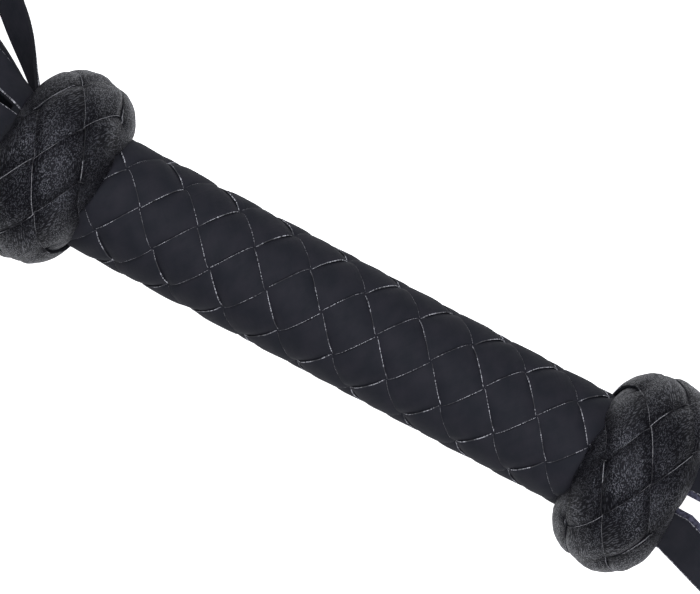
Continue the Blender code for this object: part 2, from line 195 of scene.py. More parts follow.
# Stage, in metres, and lamps: direction, distance and strength
FLOOR_REACH = 2.5
FLOOR_GAP = 0.0004
LAMP_SIDE = 0.2
LAMPS = {
    "left_box": ((-0.6, 0.45, 1.0), 0.7, 2.2),
    "right_box": ((0.7, -0.5, 1.0), 0.7, 2.2),
    "top_box": ((0.05, 0.08, 1.0), 0.8, 2.4),
}

# Camera, looking straight down with the handle running across the picture
CAMERA_RIGHT = (0.883, 0.469, 0.0)
CAMERA_UP = (-0.469, 0.883, 0.0)
CAMERA_SIDE = -0.7
CAMERA_FORWARD = 5.95
VIEW_WIDTH = 169.3
LENS = 200.0
SENSOR_WIDTH = 36.0


def to_frame(points):
    """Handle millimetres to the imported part's frame in metres."""
    return np.asarray(points, float) * MM + np.array(HANDLE)


def smooth(share):
    held = np.clip(share, 0.0, 1.0)
    return held * held * (3 - 2 * held)


def ease(distance, span):
    """0 before a span, 1 after it, and smooth between."""
    start, end = span
    return float(smooth((distance - start) / (end - start)))


def smooth_noise(coordinates, size, seed):
    """Blender's smooth noise, about -1 to 1, at an array of points, with features of the given size."""
    flat = np.asarray(coordinates, float).reshape(-1, 3) / size + seed * NOISE_SEED_STEP
    values = [noise.noise(Vector(point)) for point in flat]
    return np.array(values).reshape(np.asarray(coordinates).shape[:-1])


# Bands: every strap is one closed band with a crowned face, bevelled cut edges and a flat back
FACE, BEVEL, WALL = 0, 1, 2


def band_section(width, thickness, bevel, crown, columns):
    """Round a band's cross-section: across and level in millimetres, and each side's look by number."""
    half = width / 2
    face = np.linspace(-1, 1, columns)
    face_across = face * (half - bevel)
    face_level = thickness / 2 - crown * face**2
    shoulder = thickness / 2 - crown
    across = np.concatenate(([-half, -half + 0.35 * bevel], face_across, [half - 0.35 * bevel, half]))
    edge_level = [shoulder - 1.1 * bevel, shoulder - 0.45 * bevel]
    level = np.concatenate((edge_level, face_level, edge_level[::-1]))
    back = np.full(len(across), -thickness / 2)
    ring_across = np.concatenate((across, across[::-1]))
    ring_level = np.concatenate((level, back))
    count = len(across)
    sides = np.full(2 * count, FACE)
    sides[[0, 1, count - 3, count - 2]] = BEVEL
    sides[[count - 1, 2 * count - 1]] = WALL
    return ring_across, ring_level, sides


def band_faces(rows, ring, sides, closed):
    """Faces round and along a band, with end caps on an open one, and each face's look by number."""
    corner = np.arange(rows * ring).reshape(rows, ring)
    ahead = np.roll(corner, -1, axis=0)
    if not closed:
        corner, ahead = corner[:-1], ahead[:-1]
    beside, beside_ahead = np.roll(corner, -1, axis=1), np.roll(ahead, -1, axis=1)
    faces = np.stack((corner, beside, beside_ahead, ahead), axis=-1).reshape(-1, 4)
    marks = np.tile(sides, len(corner))
    if closed:
        return faces, marks
    half = ring // 2
    left, right = np.arange(half - 1), np.arange(1, half)
    cap = np.stack((left, right, ring - 1 - right, ring - 1 - left), axis=-1)
    faces = np.concatenate((faces, cap[:, ::-1], cap + (rows - 1) * ring))
    return faces, np.concatenate((marks, np.full(2 * len(cap), WALL)))


def band_mesh(name, points, run, across, sides, closed, looks):
    """Skin rows of cross-section points; run and across are the surface's own millimetres."""
    rows, ring = points.shape[:2]
    faces, marks = band_faces(rows, ring, sides, closed)
    mesh = bpy.data.meshes.new(name)
    mesh.from_pydata(to_frame(points.reshape(-1, 3)).tolist(), [], faces.tolist())
    for look in looks:
        mesh.materials.append(look)
    mesh.polygons.foreach_set("material_index", marks.astype(np.int32))
    lay_coordinates(mesh, rows, ring, run, across, closed)
    editor = bmesh.new()
    editor.from_mesh(mesh)
    bmesh.ops.recalc_face_normals(editor, faces=editor.faces)
    editor.to_mesh(mesh)
    editor.free()
    mesh.shade_smooth()
    mesh.set_sharp_from_angle(angle=math.radians(50))
    made = bpy.data.objects.new(name, mesh)
    bpy.context.scene.collection.objects.link(made)
    return made


def lay_coordinates(mesh, rows, ring, run, across, closed):
    """A UV map in millimetres, and the attribute rim: 0 in the middle of the band and 1 at its edges."""
    rim = np.abs(across) / np.abs(across).max()
    attribute = mesh.attributes.new("rim", "FLOAT", "POINT")
    attribute.data.foreach_set("value", np.tile(rim, rows).astype(np.float32))
    corners = np.zeros(len(mesh.loops), np.int32)
    mesh.loops.foreach_get("vertex_index", corners)
    row, column = corners // ring, corners % ring
    along = run[row]
    if closed:
        starts = np.zeros(len(mesh.polygons), np.int32)
        mesh.polygons.foreach_get("loop_start", starts)
        owner = np.searchsorted(starts, np.arange(len(corners)), side="right") - 1
        wraps = np.zeros(len(mesh.polygons), bool)
        np.logical_or.at(wraps, owner, row == rows - 1)
        along = np.where(wraps[owner] & (row == 0), run[-1] + run[1] - run[0], along)
    layer = mesh.uv_layers.new(name="UVMap")
    layer.data.foreach_set("uv", np.stack((along, across[column]), axis=-1).astype(np.float32).ravel())


def run_of(points):
    """Distance along a band at each row, from its mid-face points."""
    middle = points[:, points.shape[1] // 4]
    steps = np.linalg.norm(np.diff(middle, axis=0), axis=1)
    return np.concatenate(([0.0], np.cumsum(steps)))


def over_under(cells, slope):
    """Smooth height along a strap: +1 over each even crossing, -1 under each odd one."""
    away = np.abs((cells + 1) % 2 - 1)
    return np.sin(np.clip((0.5 - away) / slope, -1, 1) * math.pi / 2)


# Plaited cover


def plait_point(right, left, radius):
    """A point of the cover: right and left count cells across the straps wound each way."""
    x = PLAIT_CENTRE_X + CELL_X * (left - right)
    turn = PLAIT_TURN_DEG + PLAIT_DRIFT_DEG * (x - PLAIT_DRIFT_CENTRE) ** 2
    angle = np.radians(CELL_DEG * (left + right) + turn)
    return np.stack((x, -radius * np.sin(angle), radius * np.cos(angle)), axis=-1)


def plait_strap(index, right_handed):
    """One strap of the cover, over one and under one, wound right-handed or left-handed."""
    word = "right" if right_handed else "left"
    first = index + (-PLAIT_END - PLAIT_CENTRE_X) / CELL_X
    last = index + (PLAIT_END - PLAIT_CENTRE_X) / CELL_X
    if not right_handed:
        first, last = 2 * index - last, 2 * index - first
    along = np.linspace(first, last, round((last - first) * PLAIT_ROWS_PER_CELL))[:, None]
    across, level, sides = band_section(
        STRAP_WIDTH, STRAP_THICKNESS, STRAP_BEVEL, STRAP_CROWN, STRAP_COLUMNS
    )
    seed = index + (0 if right_handed else STRAPS_EACH_WAY)
    run = along * STRAP_RUN_PER_CELL
    wander_depth, wander_size = STRAP_WANDER
    middle = np.stack((run, along * 0, along * 0 + seed), axis=-1)
    wander = smooth_noise(middle, wander_size, seed) * wander_depth
    share = across[None, :] / STRAP_WIDTH
    own = index + STRAP_OVERLAP * share + wander / STRAP_WIDTH
    height = over_under(along + index, STRAP_SLOPE) * (1 if right_handed else -1)
    curl = STRAP_CURL * height * np.abs(2 * share) ** 4
    places = np.stack(np.broadcast_arrays(run, across[None, :], float(seed)), axis=-1)
    lump_depth, lump_size = STRAP_LUMPS
    lumps = smooth_noise(places, lump_size, seed) * lump_depth
    radius = PLAIT_RADIUS + STRAP_LIFT * height + curl + level[None, :] + lumps
    along_all = np.broadcast_to(along, radius.shape)
    own_all = np.broadcast_to(own, radius.shape)
    pair = (own_all, along_all) if right_handed else (along_all, own_all)
    points = plait_point(*pair, radius)
    name = f"cover_{word}_{index + 1}"
    made = band_mesh(name, points, run_of(points), across, sides, False, strap_looks())
    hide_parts(f"plait_strap_{word}_{index + 1}")
    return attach(made, "handle")


# Woven knots


def spline(outline, share):
    """A smooth curve through the outline's points, at shares of its length."""
    knots = np.array(outline, float)
    steps = np.linalg.norm(np.diff(knots, axis=0), axis=1)
    stops = np.concatenate(([0.0], np.cumsum(steps))) / steps.sum()
    slopes = np.gradient(knots, stops, axis=0)
    place = np.clip(share, 0, 1)
    left = np.clip(np.searchsorted(stops, place, side="right") - 1, 0, len(stops) - 2)
    span = stops[left + 1] - stops[left]
    t = ((place - stops[left]) / span)[..., None]
    span = span[..., None]
    start, end = knots[left], knots[left + 1]
    return (
        (2 * t**3 - 3 * t**2 + 1) * start
        + (t**3 - 2 * t**2 + t) * span * slopes[left]
        + (3 * t**2 - 2 * t**3) * end
        + (t**3 - t**2) * span * slopes[left + 1]
    )


def settle_knot(x, y, outward):
    """Each knot sits a little askew: its +Y side slides along the handle and bulges."""
    slide, tilt, bulge = KNOT_SETTLE[outward]
    side = y / KNOT_RADIUS
    return x + slide + tilt * side, y + bulge * np.clip(side, 0, 1)


def knot_point(lead, turn_cells, height, outward):
    """A point of a knot: lead counts cells from rim to rim, turn_cells half bights round it."""
    beyond = 0.5 - BIGHT_ROUNDING
    share = (lead + beyond) / (LEADS + 2 * beyond)
    step = 0.004
    base = spline(KNOT_OUTLINE, share)
    tangent = spline(KNOT_OUTLINE, share + step) - spline(KNOT_OUTLINE, share - step)
    tangent /= np.linalg.norm(tangent, axis=-1, keepdims=True)
    x = base[..., 0] - tangent[..., 1] * height
    radius = base[..., 1] + tangent[..., 0] * height
    angle = math.pi / BIGHTS * turn_cells
    distance, y = settle_knot(KNOT_START_X + x, -outward * radius * np.sin(angle), outward)
    return np.stack((outward * distance, y, radius * np.cos(angle)), axis=-1)


def knot_run(cells):
    """Lead, lean of the cross-section and height of the knot's strip after so many cells."""
    phase = cells % (2 * LEADS)
    rising = phase < LEADS
    lead = np.where(rising, phase, 2 * LEADS - phase)
    lean = np.where(rising, -1.0, 1.0)
    past = (cells + LEADS / 2) % LEADS - LEADS / 2
    near = np.abs(past) < 0.5
    at_start = lead < LEADS / 2
    rounded = past**2 + BIGHT_ROUNDING
    lead = np.where(near, np.where(at_start, rounded, LEADS - rounded), lead)
    lean = np.where(near, np.where(at_start, -2 * past, 2 * past), lean)
    woven = over_under(np.where(rising, phase + 1, phase), KNOT_SLOPE)
    turning = np.sin(np.clip(past / (1 - KNOT_SLOPE), -1, 1) * math.pi / 2)
    turning *= BIGHT_LIFT_SHARE + (1 - BIGHT_LIFT_SHARE) * smooth(np.abs(past) / (1 - KNOT_SLOPE))
    height = np.where(np.abs(past) < 1 - KNOT_SLOPE, turning, woven)
    return lead, lean, height


def knot_strip(solid, outward):
    """A knot's whole strip, which replaces its CAD solid."""
    count = 2 * LEADS * BIGHTS * KNOT_ROWS_PER_CELL
    cells = (np.arange(count) / KNOT_ROWS_PER_CELL)[:, None]
    lead, lean, height = knot_run(cells)
    across, level, sides = band_section(
        KNOT_STRIP_WIDTH, KNOT_THICKNESS, KNOT_BEVEL, KNOT_CROWN, KNOT_COLUMNS
    )
    share = across[None, :] / KNOT_STRIP_WIDTH * KNOT_FILL
    seed = 31 + outward
    run = cells * KNOT_RUN_PER_CELL
    flat = np.stack(np.broadcast_arrays(run, across[None, :], float(seed)), axis=-1)
    on_face = (level > -KNOT_THICKNESS / 2)[None, :]
    lump_depth, lump_size = KNOT_LUMPS
    lumps = smooth_noise(flat, lump_size, seed) * lump_depth
    crease_depth, crease_size = KNOT_CREASES
    creases = smooth_noise(flat * np.array(KNOT_CREASE_STRETCH), crease_size, seed + 3) * crease_depth
    curl = KNOT_CURL * height * np.abs(2 * share) ** 4
    depth = KNOT_LIFT + KNOT_THICKNESS / 2
    total = KNOT_LIFT * height + curl + level[None, :] + (lumps + creases) * on_face - depth
    lead_all, turn_all, total = np.broadcast_arrays(lead + share, cells + share * lean, total)
    points = knot_point(lead_all, turn_all, total, outward)
    looks = (knot_leather(), knot_edge(), inner_leather())
    made = band_mesh(f"{solid}_leather", points, run_of(points), across, sides, True, looks)
    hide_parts(solid)
    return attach(made, "handle")


# Falls


def fall_rows(solid):
    """Distance, place and heading along a fall, from inside the mouth to its tip.

    It turns aside inside the mouth, sooner than its solid, and joins the solid's course further out.
    The mouth's direction round the handle and its radius are returned too.
    """
    joint = next(entry for entry in frame["joints"] if entry["child"] == solid)
    root = (Vector(joint["pos_m"]) - HANDLE) / MM
    angle = math.atan2(root.z, root.y)
    heading_deg, length = FALL_HEADINGS[solid]
    round_mouth = Vector((0, -math.sin(angle), math.cos(angle)))
    reach = math.hypot(root.y, root.z)
    table_height = -TABLE_DEPTH + FALL_THICKNESS / 2 + FALL_ABOVE_TABLE
    outward = Vector((0, math.cos(angle), math.sin(angle)))
    rows = []
    place = root + Vector((FALL_TUCK, 0, 0))
    solid_place = place.copy()
    distance = -FALL_TUCK
    while distance <= length:
        relax = 1 - FALL_RELAX_SHARE * ease(distance, FALL_RELAX_SPAN)
        flare = 1 + FALL_FLARE_SHARE * (1 - ease(distance, FALL_FLARE_SPAN))
        full = math.radians(heading_deg) * flare * relax
        heading = full * ease(distance, FALL_TURN_SPAN)
        solid_heading = full * ease(distance, FALL_SOLID_TURN_SPAN)
        shown = place.lerp(solid_place, ease(distance, FALL_JOIN_SPAN))
        shown.z = root.z + (table_height - root.z) * ease(distance, FALL_DROOP_SPAN)
        depth = FALL_TUCK_DEPTH * (1 - ease(distance, (-FALL_TUCK, 0.0)))
        rows.append((distance, shown - outward * depth, heading))
        place += Vector((-math.cos(heading), math.sin(heading), 0))
        solid_place += Vector((-math.cos(solid_heading), math.sin(solid_heading), 0))
        distance += 1.0
    return rows, round_mouth, reach


def fall_strap(solid):
    """A whole fall: curved round the mouth at its root and flat on the table further out."""
    rows, round_mouth, reach = fall_rows(solid)
    across, level, sides = band_section(
        FALL_WIDTH, FALL_THICKNESS, FALL_BEVEL, FALL_CROWN, FALL_COLUMNS
    )
    points = np.zeros((len(rows), len(across), 3))
    for number, (distance, place, heading) in enumerate(rows):
        before, after = rows[max(number - 1, 0)][1], rows[min(number + 1, len(rows) - 1)][1]
        forward = (after - before).normalized()
        flat_across = Vector((-math.sin(heading), -math.cos(heading), 0))
        # A fall from the mouth's lower half lies the other way up, so it twists less than a right angle
        if round_mouth.y > 1e-6:
            flat_across.negate()
        flatness = FALL_FIRST_SHARE * ease(distance, FALL_FIRST_FLATTEN)
        flatness += (1 - FALL_FIRST_SHARE) * ease(distance, FALL_LAST_FLATTEN)
        sideways = round_mouth.lerp(flat_across, flatness)
        sideways = (sideways - forward * sideways.dot(forward)).normalized()
        outward = forward.cross(sideways)
        bend = (1 - min(2 * flatness, 1.0)) / reach
        width = 1 - FALL_NECK_SHARE * (1 - ease(distance, FALL_NECK_SPAN))
        sag = bend * (across * width) ** 2 / 2
        points[number] = (
            np.array(place)
            + np.outer(across * width, np.array(sideways))
            + np.outer(level - sag, np.array(outward))
        )
    made = band_mesh(f"{solid}_leather", points, run_of(points), across, sides, False, strap_looks())
    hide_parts(solid)
    # Rows are 1 mm apart, and the first is FALL_TUCK before the root
    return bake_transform(made)


# Wrist loop


def loop_frame(share):
    """Place, sideways and normal at a share of the way round, flat at the roots and on edge between."""
    turn = math.pi * share
    from_root = min(share, 1 - share)
    fall = float(smooth(from_root / LOOP_TWIST_END))
    resting = -TABLE_DEPTH + LOOP_WIDTH / 2 + LOOP_ABOVE_TABLE
    place = Vector(
        (
            LOOP_ROOT_X + LOOP_REACH * math.sin(turn),
            -LEG_OFFSET * math.cos(turn) - LOOP_BULGE * math.sin(2 * turn),
            resting * fall,
        )
    )
    forward = Vector(
        (
            LOOP_REACH * math.cos(turn),
            LEG_OFFSET * math.sin(turn) - 2 * LOOP_BULGE * math.cos(2 * turn),
            0,
        )
    ).normalized()
    away = Vector((forward.y, -forward.x, 0))
    lean = math.radians(90) * fall
    normal = Vector((0, 0, 1)) * math.cos(lean) + away * math.sin(lean)
    return place, forward.cross(normal), normal


def loop_rows():
    """Place, sideways, normal and share at each cross-section, from inside the mouth and back in."""
    rows = []
    for station in range(LOOP_STATIONS + 1):
        share = station / LOOP_STATIONS
        rows.append((*loop_frame(share), share))
    (first, *first_frame), (last, *last_frame) = rows[0], rows[-1]
    tucks = range(1, LOOP_TUCK + 1)
    before = [(first - Vector((back, 0, 0)), *first_frame) for back in reversed(tucks)]
    after = [(last - Vector((back, 0, 0)), *last_frame) for back in tucks]
    return before + rows + after


def loop_ply(name, solid, centre, slide, facing, looks):
    """One strap of the loop, at centre from the loop's middle, facing outward (1) or inward (-1)."""
    across, level, sides = band_section(LOOP_WIDTH, LOOP_PLY, LOOP_BEVEL, LOOP_CROWN, LOOP_COLUMNS)
    rings = []
    for place, sideways, normal, share in loop_rows():
        slid = slide * (1 - float(smooth(min(share, 1 - share) / LOOP_TWIST_END)))
        rings.append(
            np.array(place)
            + np.outer(across - slid, np.array(sideways))
            + np.outer(level * facing + centre, np.array(normal))
        )
    points = np.array(rings)
    made = band_mesh(name, points, run_of(points), across, sides, False, looks)
    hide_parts(solid)
    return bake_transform(made)


def wrist_loop():
    offset = (LOOP_PLY + LOOP_PLY_GAP) / 2
    outer = loop_ply("loop_outer_leather", "loop_outer_strap", offset, 0.0, 1, strap_looks())
    lining_looks = [lining_leather()] * 3
    name, solid = "loop_lining_leather", "loop_lining_strap"
    lining = loop_ply(name, solid, -offset, LINING_SLIDE, -1, lining_looks)


# Materials


def new_look(name):
    """A new material with its node tree and main shader."""
    made = bpy.data.materials.new(name)
    made.use_nodes = True
    return made, made.node_tree, made.node_tree.nodes["Principled BSDF"]


def node(tree, kind, **settings):
    made = tree.nodes.new(kind)
    for key, value in settings.items():
        if key in made.inputs:
            made.inputs[key].default_value = value
        else:
            setattr(made, key, value)
    return made


def link(tree, source, target):
    tree.links.new(source, target)


def surface_coordinates(tree, scale=(1.0, 1.0, 1.0)):
    """The band's own millimetres, along and across, stretched by scale."""
    source = node(tree, "ShaderNodeUVMap")
    mapping = node(tree, "ShaderNodeMapping")
    mapping.inputs["Scale"].default_value = scale
    link(tree, source.outputs["UV"], mapping.inputs["Vector"])
    return mapping.outputs["Vector"]


def object_coordinates(tree, scale=(1.0, 1.0, 1.0)):
    """Object coordinates in millimetres, stretched by scale."""
    source = node(tree, "ShaderNodeTexCoord")
    mapping = node(tree, "ShaderNodeMapping")
    mapping.inputs["Scale"].default_value = tuple(value / MM for value in scale)
    link(tree, source.outputs["Object"], mapping.inputs["Vector"])
    return mapping.outputs["Vector"]


def ramp(tree, source, stops):
    made = node(tree, "ShaderNodeValToRGB")
    elements = made.color_ramp.elements
    while len(elements) < len(stops):
        elements.new(0.5)
    for element, (place, colour) in zip(elements, stops):
        element.position = place
        element.color = (*colour, 1.0)
    link(tree, source, made.inputs["Fac"])
    return made.outputs["Color"]


def bump(tree, height, depth_mm, normal=None):
    made = node(tree, "ShaderNodeBump", Strength=1.0)
    made.inputs["Distance"].default_value = depth_mm * MM
    link(tree, height, made.inputs["Height"])
    if normal is not None:
        link(tree, normal, made.inputs["Normal"])
    return made.outputs["Normal"]


def mix_colours(tree, factor, first, second):
    """Blend two colour outputs or plain colours by factor."""
    made = node(tree, "ShaderNodeMix", data_type="RGBA")
    link(tree, factor, made.inputs["Factor"])
    for name, colour in (("A", first), ("B", second)):
        if isinstance(colour, tuple):
            made.inputs[name].default_value = (*colour, 1.0)
        else:
            link(tree, colour, made.inputs[name])
    return made.outputs["Result"]


def rim_share(tree, start, low, high):
    """Runs from low, up to start across the band, to high at the band's edges."""
    rim = node(tree, "ShaderNodeAttribute", attribute_name="rim")
    made = node(tree, "ShaderNodeMapRange")
    made.inputs["From Min"].default_value = start
    made.inputs["To Min"].default_value = low
    made.inputs["To Max"].default_value = high
    link(tree, rim.outputs["Fac"], made.inputs["Value"])
    return made.outputs["Result"]


def grey(value):
    return (value, value, value)


@functools.cache
def strap_leather():
    """Smooth, nearly matt black leather with fine pores and a faint blue cast."""
    made, tree, shader = new_look("strap_leather")
    where = surface_coordinates(tree)
    cloud = node(tree, "ShaderNodeTexNoise", Scale=0.22, Detail=4.0)
    pores = node(tree, "ShaderNodeTexNoise", Scale=5.0, Detail=3.0)
    scuffs = node(tree, "ShaderNodeTexNoise", Scale=1.0, Detail=5.0)
    for texture in (cloud, pores):
        link(tree, where, texture.inputs["Vector"])
    link(tree, surface_coordinates(tree, (0.35, 2.2, 1.0)), scuffs.inputs["Vector"])
    tones = ((0.35, (0.0122, 0.0132, 0.0178)), (0.65, (0.0170, 0.0168, 0.0222)))
    tone = ramp(tree, cloud.outputs["Fac"], tones)
    worn = rim_share(tree, 0.975, 0.0, 0.35)
    link(tree, mix_colours(tree, worn, tone, (0.05, 0.05, 0.055)), shader.inputs["Base Color"])
    roughness = ramp(tree, scuffs.outputs["Fac"], ((0.3, grey(0.66)), (0.75, grey(0.76))))
    link(tree, roughness, shader.inputs["Roughness"])
    shader.inputs["Specular IOR Level"].default_value = 0.10
    fine = bump(tree, pores.outputs["Fac"], 0.012)
    link(tree, bump(tree, scuffs.outputs["Fac"], 0.02, fine), shader.inputs["Normal"])
    return made


@functools.cache
def cut_edge():
    """The cut side of a strap: paler fibre with a broken black dye."""
    made, tree, shader = new_look("cut_edge")
    where = surface_coordinates(tree, (1.0, 0.3, 1.0))
    fibre = node(tree, "ShaderNodeTexNoise", Scale=3.2, Detail=2.0, Roughness=0.6)
    patch = node(tree, "ShaderNodeTexNoise", Scale=0.22, Detail=2.0)
    link(tree, where, fibre.inputs["Vector"])
    link(tree, surface_coordinates(tree), patch.inputs["Vector"])
    pale = ramp(tree, fibre.outputs["Fac"], ((0.42, (0.03, 0.03, 0.034)), (0.60, (0.50, 0.50, 0.54))))
    dyed = ramp(tree, patch.outputs["Fac"], ((0.40, grey(0.0)), (0.54, grey(1.0))))
    link(tree, mix_colours(tree, dyed, (0.045, 0.045, 0.05), pale), shader.inputs["Base Color"])
    shader.inputs["Roughness"].default_value = 0.85
    shader.inputs["Specular IOR Level"].default_value = 0.2
    link(tree, bump(tree, fibre.outputs["Fac"], 0.08), shader.inputs["Normal"])
    return made


def strap_looks():
    return (strap_leather(), cut_edge(), inner_leather())


@functools.cache
def knot_leather():
    """Pebble-grained black leather, glossier on the grain's tops, with fine creases; painted shade
    darkens the grain's grooves and dims reflections towards the strip's edges.
    """
    made, tree, shader = new_look("knot_leather")
    where = surface_coordinates(tree)
    warp = node(tree, "ShaderNodeTexNoise", Scale=0.9, Detail=2.0)
    link(tree, where, warp.inputs["Vector"])
    shift = node(tree, "ShaderNodeVectorMath", operation="MULTIPLY_ADD")
    link(tree, warp.outputs["Color"], shift.inputs[0])
    shift.inputs[1].default_value = (0.5, 0.5, 0.0)
    link(tree, where, shift.inputs[2])
    pebbles = node(tree, "ShaderNodeTexVoronoi", Scale=3.0, feature="F1")
    link(tree, shift.outputs["Vector"], pebbles.inputs["Vector"])
    creases = node(tree, "ShaderNodeTexNoise", Scale=1.0, Detail=5.0, Roughness=0.62)
    link(tree, surface_coordinates(tree, (0.35, 1.5, 1.0)), creases.inputs["Vector"])
    pull = node(tree, "ShaderNodeVectorMath", operation="MULTIPLY")
    link(tree, shift.outputs["Vector"], pull.inputs[0])
    pull.inputs[1].default_value = (1.1, 0.3, 1.0)
    pulled = node(tree, "ShaderNodeTexVoronoi", Scale=3.0, feature="F1")
    link(tree, pull.outputs["Vector"], pulled.inputs["Vector"])
    patch = node(tree, "ShaderNodeTexNoise", Scale=0.12, Detail=1.0)
    link(tree, where, patch.inputs["Vector"])
    stops = ((0.05, grey(1.0)), (0.62, grey(0.0)))
    pulled_patch = ramp(tree, patch.outputs["Fac"], ((0.52, grey(0.0)), (0.60, grey(1.0))))
    round_tops = ramp(tree, pebbles.outputs["Distance"], stops)
    pulled_tops = ramp(tree, pulled.outputs["Distance"], stops)
    tops = mix_colours(tree, pulled_patch, round_tops, pulled_tops)
    # Base colour darker in the grain's grooves than on its tops: painted shade for the shadow inside the
    # grooves.
    tone = ramp(tree, tops, ((0.1, (0.0030, 0.0029, 0.0040)), (0.9, (0.0075, 0.0074, 0.0108))))
    link(tree, tone, shader.inputs["Base Color"])
    link(tree, ramp(tree, tops, ((0.2, grey(0.46)), (0.9, grey(0.20)))), shader.inputs["Roughness"])
    # Reflections weak in the grooves: painted shade in the grain; the glossier tops are the leather's
    # own.
    shine_with_painted_shade = node(tree, "ShaderNodeMath", operation="MULTIPLY")
    link(tree, ramp(tree, tops, ((0.22, grey(0.10)), (0.80, grey(1.0)))), shine_with_painted_shade.inputs[0])
    # Reflections dimmed towards the strip's edges: painted shade next to the seams.
    link(tree, rim_share(tree, 0.45, 1.0, 0.35), shine_with_painted_shade.inputs[1])
    link(tree, shine_with_painted_shade.outputs["Value"], shader.inputs["Specular IOR Level"])
    folds = node(tree, "ShaderNodeMath", operation="MULTIPLY")
    link(tree, creases.outputs["Fac"], folds.inputs[0])
    link(tree, rim_share(tree, 0.35, 0.25, 1.0), folds.inputs[1])
    rough = bump(tree, folds.outputs["Value"], 0.7)
    shader.inputs["IOR"].default_value = 1.62
    shader.inputs["Specular Tint"].default_value = (0.88, 0.90, 1.0, 1.0)
    link(tree, bump(tree, tops, 0.07, rough), shader.inputs["Normal"])
    return made


@functools.cache
def knot_edge():
    """The knot strip's turned edge: mostly black, with a thin broken line of paler fibre."""
    made, tree, shader = new_look("knot_edge")
    fibre = node(tree, "ShaderNodeTexNoise", Scale=2.4, Detail=4.0, Roughness=0.7)
    patch = node(tree, "ShaderNodeTexNoise", Scale=0.13, Detail=2.0)
    link(tree, surface_coordinates(tree, (1.0, 3.0, 1.0)), fibre.inputs["Vector"])
    link(tree, surface_coordinates(tree), patch.inputs["Vector"])
    pale = ramp(tree, fibre.outputs["Fac"], ((0.42, (0.02, 0.02, 0.024)), (0.60, (0.36, 0.36, 0.38))))
    shown = ramp(tree, patch.outputs["Fac"], ((0.46, grey(0.0)), (0.56, grey(1.0))))
    link(tree, mix_colours(tree, shown, (0.012, 0.012, 0.014), pale), shader.inputs["Base Color"])
    shader.inputs["Roughness"].default_value = 0.75
    shader.inputs["Specular IOR Level"].default_value = 0.3
    link(tree, bump(tree, fibre.outputs["Fac"], 0.10), shader.inputs["Normal"])
    return made


@functools.cache
def lining_leather():
    """The wrist loop's inner ply: a napped, mottled navy-black."""
    made, tree, shader = new_look("lining_leather")
    nap = node(tree, "ShaderNodeTexNoise", Scale=1.0, Detail=6.0, Roughness=0.7)
    link(tree, surface_coordinates(tree), nap.inputs["Vector"])
    tone = ramp(tree, nap.outputs["Fac"], ((0.38, (0.012, 0.012, 0.022)), (0.64, (0.100, 0.100, 0.150))))
    link(tree, tone, shader.inputs["Base Color"])
    shader.inputs["Roughness"].default_value = 0.8
    shader.inputs["Specular IOR Level"].default_value = 0.25
    link(tree, bump(tree, nap.outputs["Fac"], 0.12), shader.inputs["Normal"])
    return made


@functools.cache
def thread_look():
    """Waxed thread wound round X: fine ridges along the handle."""
    made, tree, shader = new_look("waxed_thread")
    turns = node(tree, "ShaderNodeTexWave", Scale=0.32, Distortion=0.4, bands_direction="X")
    link(tree, object_coordinates(tree), turns.inputs["Vector"])
    tone = ramp(tree, turns.outputs["Fac"], ((0.1, grey(0.003)), (0.8, grey(0.010))))
    link(tree, tone, shader.inputs["Base Color"])
    shader.inputs["Roughness"].default_value = 0.6
    shader.inputs["Specular IOR Level"].default_value = 0.15
    link(tree, bump(tree, turns.outputs["Fac"], 0.25), shader.inputs["Normal"])
    return made


@functools.cache
def stained_wood():
    """Black-stained wood, grain along the handle; the core's end shows in the rear knot's mouth."""
    made, tree, shader = new_look("stained_wood")
    grain = node(tree, "ShaderNodeTexNoise", Scale=0.9, Detail=6.0, Roughness=0.65)
    link(tree, object_coordinates(tree, (0.08, 1.2, 1.2)), grain.inputs["Vector"])
    tone = ramp(tree, grain.outputs["Fac"], ((0.3, (0.005, 0.005, 0.005)), (0.7, (0.012, 0.011, 0.011))))
    link(tree, tone, shader.inputs["Base Color"])
    shader.inputs["Roughness"].default_value = 0.7
    shader.inputs["Specular IOR Level"].default_value = 0.12
    link(tree, bump(tree, grain.outputs["Fac"], 0.10), shader.inputs["Normal"])
    return made


@functools.cache
def felt_look():
    made, tree, shader = new_look("black_felt")
    fibres = node(tree, "ShaderNodeTexNoise", Scale=2.0, Detail=6.0, Roughness=0.75)
    link(tree, object_coordinates(tree), fibres.inputs["Vector"])
    tone = ramp(tree, fibres.outputs["Fac"], ((0.3, grey(0.006)), (0.7, grey(0.020))))
    link(tree, tone, shader.inputs["Base Color"])
    shader.inputs["Roughness"].default_value = 0.95
    link(tree, bump(tree, fibres.outputs["Fac"], 0.25), shader.inputs["Normal"])
    return made


@functools.cache
def nail_steel():
    made, tree, shader = new_look("nail_steel")
    marks = node(tree, "ShaderNodeTexNoise", Scale=3.0, Detail=4.0)
    link(tree, object_coordinates(tree), marks.inputs["Vector"])
    roughness = ramp(tree, marks.outputs["Fac"], ((0.3, grey(0.25)), (0.7, grey(0.5))))
    link(tree, roughness, shader.inputs["Roughness"])
    shader.inputs["Base Color"].default_value = (0.52, 0.53, 0.55, 1.0)
    shader.inputs["Metallic"].default_value = 1.0
    return made


@functools.cache
def inner_leather():
    """Plain black leather for pieces that are mostly hidden."""
    made, tree, shader = new_look("inner_leather")
    pores = node(tree, "ShaderNodeTexNoise", Scale=1.8, Detail=5.0)
    link(tree, object_coordinates(tree), pores.inputs["Vector"])
    tones = ((0.3, (0.008, 0.0085, 0.011)), (0.7, (0.013, 0.0135, 0.017)))
    tone = ramp(tree, pores.outputs["Fac"], tones)
    link(tree, tone, shader.inputs["Base Color"])
    shader.inputs["Roughness"].default_value = 0.7
    shader.inputs["Specular IOR Level"].default_value = 0.12
    link(tree, bump(tree, pores.outputs["Fac"], 0.05), shader.inputs["Normal"])
    return made


